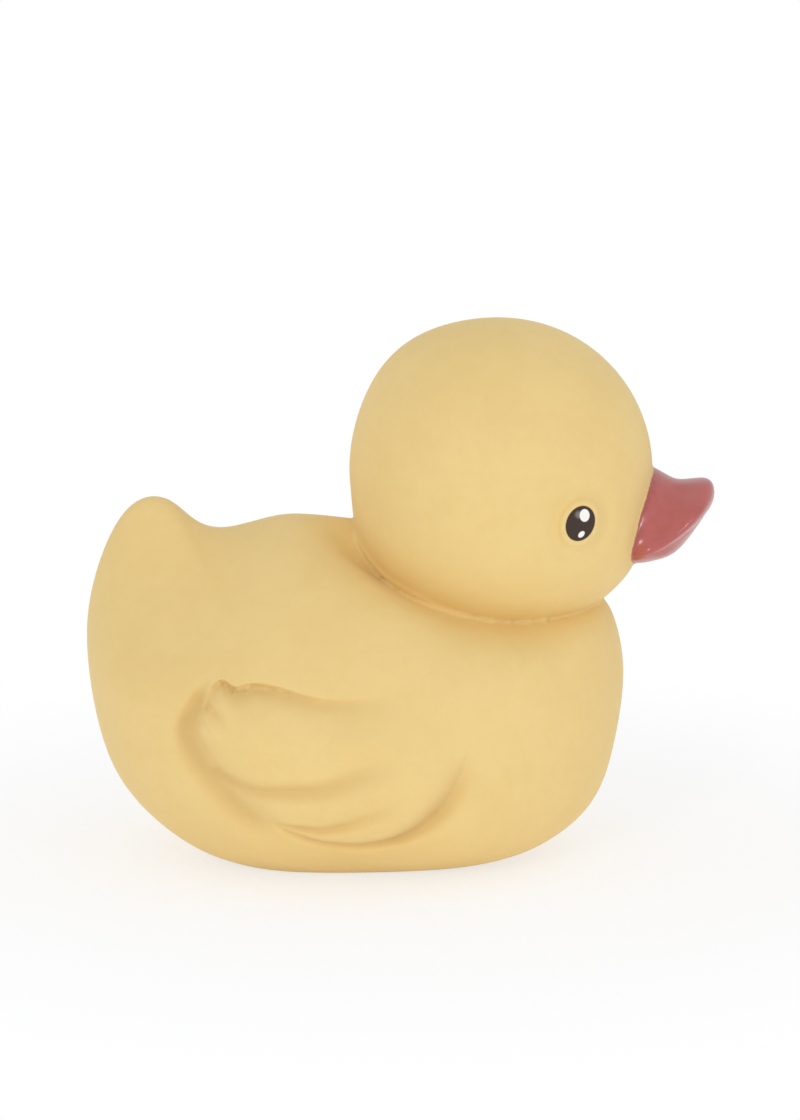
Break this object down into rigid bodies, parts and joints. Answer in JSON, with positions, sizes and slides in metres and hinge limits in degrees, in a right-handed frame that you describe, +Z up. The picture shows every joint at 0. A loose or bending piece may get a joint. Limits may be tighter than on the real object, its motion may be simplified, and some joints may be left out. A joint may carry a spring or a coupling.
{
  "type": "rubber duck",
  "caption": "Bath duck moulded in one piece: ball head with a short upturned bill, round body with a drawn-up tail, feathered wings on the flanks and a flat base.",
  "frame": {"origin": "bottom centre of the bounding box: the middle of its length and width, at the height of the flat base", "axes": "+X from the tail to the bill, +Z up, and Y = 0 is the mirror plane between the two wings"},
  "size_m": [0.1106, 0.0796, 0.0955],
  "materials": {
    "rubber": "matt pale yellow natural rubber, with a satin dusty red bill and dark brown eyes painted on"
  },
  "bodies": {
    "root": {"duck": "rubber"}
  },
  "joints": []
}
